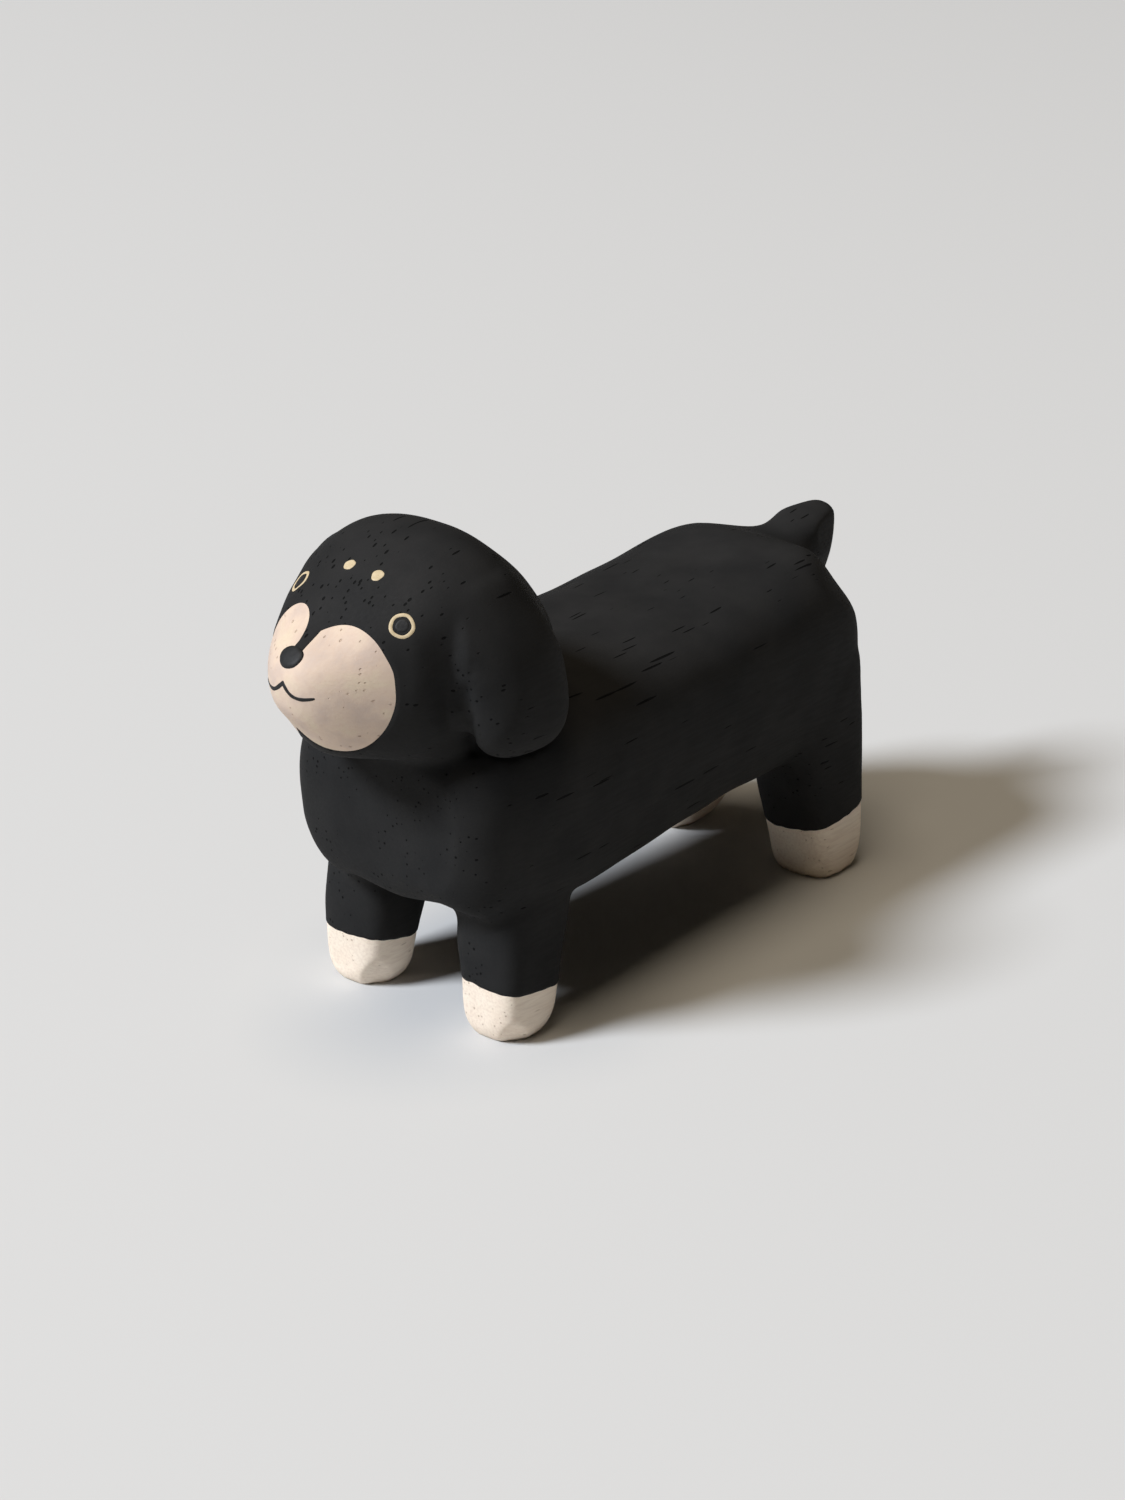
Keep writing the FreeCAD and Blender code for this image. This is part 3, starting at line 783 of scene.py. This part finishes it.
def black_coat_material():
    """Matte black, with the wood's open pores pressed in and painted darker as the shade inside them."""
    material, tree, shader, place = new_material(
        "black_coat", colour=(0.020, 0.020, 0.020), roughness=0.74, specular=0.12)
    slit = pores(tree, place, spacing=0.72, length=2.3, radius=0.16)
    fibres = noise(tree, stretched(tree, place, (3.0, 0.16, 3.0)), 1.0, 3.0)
    blotch = noise(tree, place, 0.13, 3.0)
    base = ramp(tree, blotch, ((0.30, (0.0145, 0.0145, 0.0145)), (0.70, (0.021, 0.0205, 0.020))))
    # Painted shade: the pores are coloured near-black for the shadow that falls in their hollows
    dark = mixed(tree, slit, base, (0.002, 0.002, 0.002, 1))
    tree.links.new(dark, shader.inputs["Base Color"])
    tree.links.new(ranged(tree, fibres, 0.3, 0.7, 0.70, 0.79), shader.inputs["Roughness"])
    fine = maths(tree, "MULTIPLY", noise(tree, place, 2.2, 3.0), 0.14)
    height = maths(tree, "ADD", fine, maths(tree, "MULTIPLY", fibres, 0.05))
    height = maths(tree, "SUBTRACT", height, slit)
    bumped(tree, shader, height, 0.14)
    return material


def bare_wood_material():
    """Pale long grain on the paws, and browner end grain on the muzzle."""
    material, tree, shader, place = new_material(
        "bare_wood", colour=(0.86, 0.77, 0.66), roughness=0.62, specular=0.28)
    slit = pores(tree, place, spacing=0.75, length=1.5, radius=0.13)
    fibres = noise(tree, stretched(tree, place, (2.6, 0.14, 2.6)), 1.0, 4.0)
    bands = noise(tree, stretched(tree, place, (0.35, 0.02, 0.35)), 1.0, 2.0)
    paws = ramp(tree, bands, ((0.34, (0.95, 0.81, 0.66)), (0.70, (0.98, 0.86, 0.71))))
    muzzle = ramp(tree, bands, (
        (0.34, (0.58, 0.46, 0.38)), (0.52, (0.66, 0.52, 0.41)), (0.70, (0.68, 0.56, 0.42)),
    ))
    height_up = add_node(tree, "ShaderNodeSeparateXYZ", inputs={"Vector": place}).outputs["Z"]
    pale = mixed(tree, ranged(tree, height_up, 20.0, 34.0, 0.0, 1.0), paws, muzzle)
    grained = mixed(tree, ranged(tree, fibres, 0.35, 0.75, 0.0, 0.30), pale, (0.60, 0.44, 0.33, 1))
    pored = mixed(tree, maths(tree, "MULTIPLY", slit, 0.45), grained, (0.34, 0.21, 0.13, 1))
    tree.links.new(pored, shader.inputs["Base Color"])
    height = maths(tree, "SUBTRACT", maths(tree, "MULTIPLY", fibres, 0.3), slit)
    bumped(tree, shader, height, 0.10)
    return material


def flat_paint_material(name, light, dark, roughness, specular, bump_mm):
    """Brushed paint of one colour, a little uneven."""
    material, tree, shader, place = new_material(name, light, roughness, specular)
    blotch = noise(tree, place, 1.6, 3.0)
    tree.links.new(ramp(tree, blotch, ((0.35, dark), (0.65, light))), shader.inputs["Base Color"])
    bumped(tree, shader, noise(tree, place, 2.8, 3.0), bump_mm)
    return material


# ---------------------------------------------------------------- the pieces

def wanted_edge(middles):
    """Longest edge wanted at a place: short where the coat ends, and shorter under the painted marks."""
    size = np.full(len(middles), OTHER_EDGE)
    size[np.abs(coat_depth(middles)) < FINE_REACH] = PAINT_EDGE
    for node in MARK_NODES:
        low, high = (np.array(corner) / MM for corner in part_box(node))
        outside = np.maximum(np.maximum(low - middles, middles - high), 0)
        size[(outside ** 2).sum(axis=1) < FINE_REACH ** 2] = MARK_EDGE
    return size


def mark_film(node, surface, depth_of, height_of):
    """A painted mark on a surface, as a closed solid."""
    points, triangles, normals = surface
    centre = centre_of(node)
    low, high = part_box(node)
    reach = (high - low).length / 2 / MM + MARK_MARGIN
    close = ((points[triangles].mean(axis=1) - centre) ** 2).sum(axis=1) < reach ** 2
    patch, faces, outward = compacted(points, triangles[close], normals)
    nearest = ((patch - centre) ** 2).sum(axis=1).argmin()
    facing = outward[nearest]
    across = unit(np.cross(facing, (0.0, 0.0, 1.0)))
    upward = np.cross(across, facing)
    origin = patch[nearest] + across * ((centre - patch[nearest]) @ across)
    origin = origin + upward * ((centre - patch[nearest]) @ upward)

    def depths(places):
        local = places - origin
        return depth_of(local @ across, local @ upward, places)

    patch, faces, outward = clipped(patch, faces, outward, depths(patch))
    return film(patch, faces, outward, height_of(depths(patch)))


def flat_height(depths):
    """A thin mark that tapers at its edge."""
    return MARK * (MARK_THIN + (1 - MARK_THIN) * step(depths, 0.0, MARK_TAPER))


def nose_height(depths):
    """A thick dab with a rounded shoulder."""
    share = np.clip(depths / NOSE_SHOULDER, 0, 1)
    return NOSE_BUILD * np.sqrt(share * (2 - share))


def build_dog():
    """The wood, the coat on it, and the painted marks on the coat and on the bare muzzle."""
    black = black_coat_material()
    wood = bare_wood_material()
    cream = flat_paint_material(
        "cream_paint", light=(0.62, 0.50, 0.32), dark=(0.54, 0.43, 0.26),
        roughness=0.55, specular=0.3, bump_mm=0.03,
    )
    detail = flat_paint_material(
        "black_detail", light=(0.018, 0.018, 0.018), dark=(0.012, 0.012, 0.012),
        roughness=0.58, specular=0.26, bump_mm=0.03,
    )
    points, triangles = carved_master()
    points, triangles = refined(points, triangles, wanted_edge)
    normals = normals_of(points, triangles)
    made_object("carved_body_wood", points, triangles, wood, "bare_wood", "carved_body")

    depth = coat_depth(points)
    patch, faces, outward = clipped(points, triangles, normals, depth)
    thickness = COAT * (COAT_THIN + (1 - COAT_THIN) * step(coat_depth(patch), 0.0, COAT_TAPER))
    coat = film(patch, faces, outward, thickness)
    made_object("black_coat_paint", *coat, black, "black_paint", "black_coat")

    bare = (points, triangles, normals)
    painted = (points + normals * COAT, triangles, normals)
    for number, side in enumerate(("left", "right")):
        seed = SEED + 20 * number
        outer = radius_of(side + "_eye_ring") * EYE_SHARE
        ring = ring_depth(outer, EYE_STROKE, RING_UNEVENNESS, seed)
        pupil = disc_depth(radius_of(side + "_pupil") * EYE_SHARE, PUPIL_UNEVENNESS, seed + 3)
        brow = disc_depth(radius_of(side + "_brow_dot"), BROW_UNEVENNESS, seed + 5)
        for part, depth_of, paint, paint_slot in (
            ("_eye_ring", ring, cream, "cream_paint"),
            ("_pupil", pupil, detail, "black_detail_paint"),
            ("_brow_dot", brow, cream, "cream_paint"),
        ):
            solid = mark_film(side + part, painted, depth_of, flat_height)
            made_object(side + part + "_paint", *solid, paint, paint_slot, side + part)

    nose = disc_depth(NOSE_RADIUS, NOSE_UNEVENNESS, SEED + 9, NOSE_TALL)
    solid = mark_film("nose", bare, nose, nose_height)
    made_object("nose_paint", *solid, detail, "black_detail_paint", "nose")
    solid = mark_film("mouth_line", bare, mouth_depth, flat_height)
    made_object("mouth_line_paint", *solid, detail, "black_detail_paint", "mouth_line")


# ---------------------------------------------------------------- floor, light and camera

def area_light(name, towards, distance, size, power, colour):
    """A round soft light in a direction from the dog, facing it."""
    light = bpy.data.lights.new(name, "AREA")
    light.shape = "DISK"
    light.size = size
    light.energy = power
    light.color = colour
    obj = bpy.data.objects.new(name, light)
    bpy.context.scene.collection.objects.link(obj)
    direction = Vector(towards).normalized()
    obj.location = direction * distance
    obj.rotation_mode = "QUATERNION"
    obj.rotation_quaternion = direction.to_track_quat("Z", "Y")


def floor():
    """The pale table that the dog stands on."""
    mesh = bpy.data.meshes.new("floor")
    half = FLOOR_HALF
    corners = [(-half, -half, 0), (half, -half, 0), (half, half, 0), (-half, half, 0)]
    mesh.from_pydata(corners, [], [(0, 1, 2, 3)])
    mesh.materials.append(new_material("floor", FLOOR_COLOUR, roughness=0.9, specular=0.1)[0])
    obj = bpy.data.objects.new("floor", mesh)
    bpy.context.scene.collection.objects.link(obj)


def world():
    """Faint warm light from all round."""
    made = bpy.data.worlds.new("studio")
    made.use_nodes = True
    background = made.node_tree.nodes["Background"]
    background.inputs["Color"].default_value = (*WARM_FILL, 1)
    background.inputs["Strength"].default_value = FILL
    bpy.context.scene.world = made


def camera():
    """Looks down at the dog's left front."""
    data = bpy.data.cameras.new("camera")
    data.lens = CAMERA_LENS
    data.sensor_width = CAMERA_SENSOR
    data.clip_start = 0.01
    data.clip_end = 20.0
    obj = bpy.data.objects.new("camera", data)
    bpy.context.scene.collection.objects.link(obj)
    around, above = math.radians(CAMERA_AZIMUTH), math.radians(CAMERA_ELEVATION)
    back = Vector((
        math.sin(around) * math.cos(above), -math.cos(around) * math.cos(above), math.sin(above)))
    obj.location = Vector(CAMERA_AIM) * MM + back * CAMERA_DISTANCE * MM
    obj.rotation_mode = "QUATERNION"
    obj.rotation_quaternion = (-back).to_track_quat("-Z", "Y")
    bpy.context.scene.camera = obj


build_dog()
floor()
world()
area_light("key", KEY_FROM, KEY_DISTANCE, KEY_SIZE, KEY_POWER, KEY_COLOUR)
area_light("soft", SOFT_FROM, SOFT_DISTANCE, SOFT_SIZE, SOFT_POWER, SOFT_COLOUR)
camera()
bpy.context.scene.view_settings.view_transform = "Standard"
